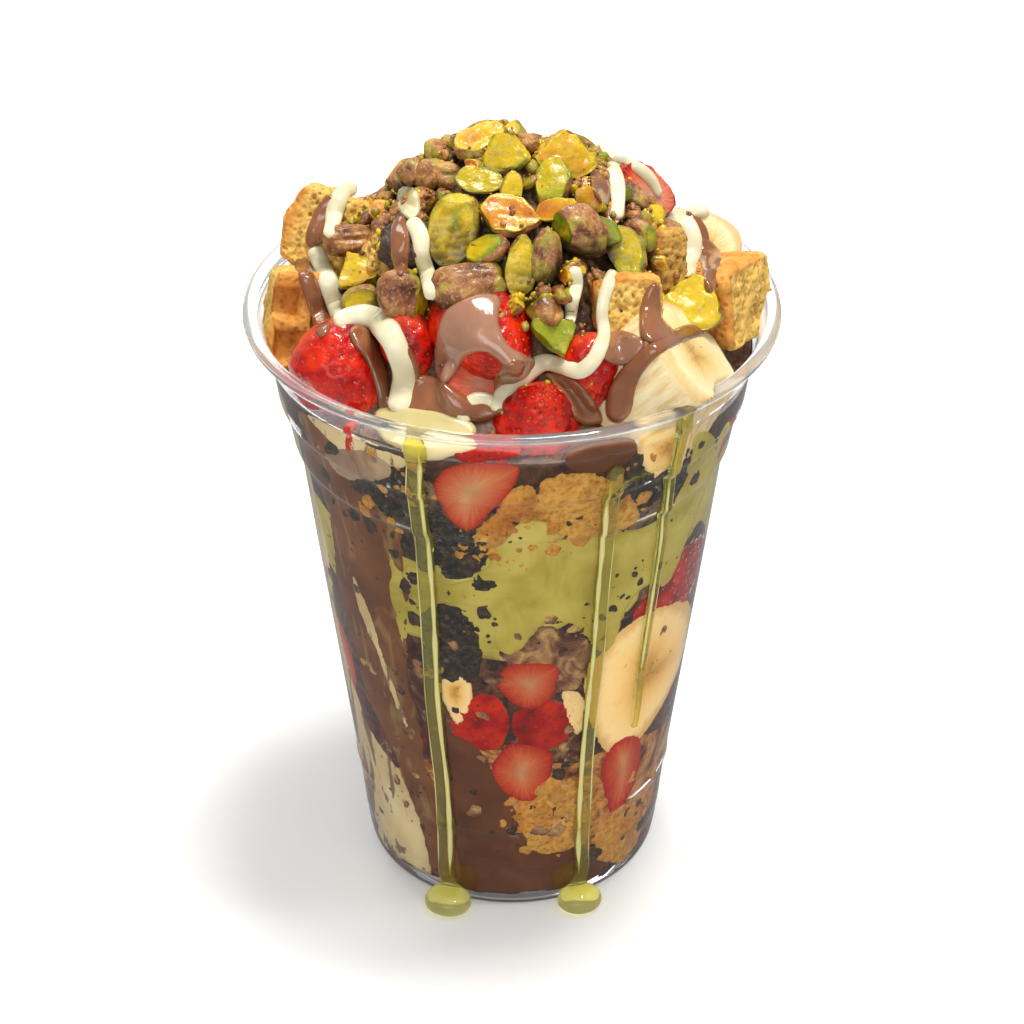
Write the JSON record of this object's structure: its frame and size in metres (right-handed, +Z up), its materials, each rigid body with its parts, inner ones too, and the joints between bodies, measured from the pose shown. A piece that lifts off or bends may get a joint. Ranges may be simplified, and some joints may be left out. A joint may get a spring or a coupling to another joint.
{
  "type": "waffle cup",
  "caption": "Clear tapered cup filled with waffle, strawberry, banana, dark biscuit, chocolate sauce and pistachio cream, heaped with pistachios.",
  "frame": {"origin": "middle of the flat foot ring, on the surface that the cup stands on", "axes": "+Z up along the cup's axis; -Y is the front, the side that the picture shows; +X is to the right seen from the front"},
  "size_m": [0.098, 0.098, 0.1566],
  "materials": {
    "clear_plastic": "clear, glossy, thin moulded plastic",
    "strawberry": "wet red skin with pale seeds; cut faces pink to white",
    "banana": "soft pale flesh, slightly wet",
    "waffle": "golden baked crust over an open pale crumb",
    "dark_biscuit": "rough, near-black crumb",
    "brownie": "brown sponge soaked with sauce",
    "chocolate_sauce": "glossy milk chocolate sauce",
    "pale_cream": "satin cream and white chocolate",
    "pistachio_cream": "satin green cream with dark specks",
    "pistachio": "green and yellow flesh, brown to purple skin",
    "syrup": "clear yellow-green syrup, very glossy"
  },
  "bodies": {
    "root": {"banana_top_behind": "banana", "banana_top_front": "banana", "banana_wall_back": "banana", "banana_wall_behind": "banana", "banana_wall_round": "banana", "banana_wall_small": "banana", "biscuit_crumb_layer": "dark_biscuit", "biscuit_top_left": "dark_biscuit", "biscuit_wall_left": "dark_biscuit", "biscuit_wall_low": "dark_biscuit", "biscuit_wall_middle": "dark_biscuit", "brownie_wall_middle": "brownie", "chocolate_base": "chocolate_sauce", "chocolate_bed": "chocolate_sauce", "chocolate_streak_left": "chocolate_sauce", "cream_streak_left": "pale_cream", "cup": "clear_plastic", "fruit_bed": "chocolate_sauce", "pistachio_cream_layer": "pistachio_cream", "pistachio_front_green": "pistachio", "pistachio_heap": "pistachio", "pistachio_left": "pistachio", "pistachio_left_low": "pistachio", "pistachio_left_pale": "pistachio", "pistachio_right": "pistachio", "strawberry_top_back": "strawberry", "strawberry_top_behind": "strawberry", "strawberry_top_centre": "strawberry", "strawberry_top_dark": "strawberry", "strawberry_top_front": "strawberry", "strawberry_top_glazed": "strawberry", "strawberry_top_left": "strawberry", "strawberry_top_low": "strawberry", "strawberry_top_right": "strawberry", "strawberry_wall_back": "strawberry", "strawberry_wall_centre": "strawberry", "strawberry_wall_far_left": "strawberry", "strawberry_wall_far_right": "strawberry", "strawberry_wall_front_low": "strawberry", "strawberry_wall_left_centre": "strawberry", "strawberry_wall_right_centre": "strawberry", "strawberry_wall_right_low": "strawberry", "strawberry_wall_top": "strawberry", "syrup_drip_left": "syrup", "syrup_drip_right": "syrup", "syrup_drip_side": "syrup", "waffle_bed": "waffle", "waffle_top_back": "waffle", "waffle_top_centre": "waffle", "waffle_top_left": "waffle", "waffle_top_right": "waffle", "waffle_top_side": "waffle", "waffle_wall_back": "waffle", "waffle_wall_low": "waffle", "waffle_wall_low_right": "waffle", "waffle_wall_middle": "waffle", "waffle_wall_right": "waffle"}
  },
  "joints": []
}
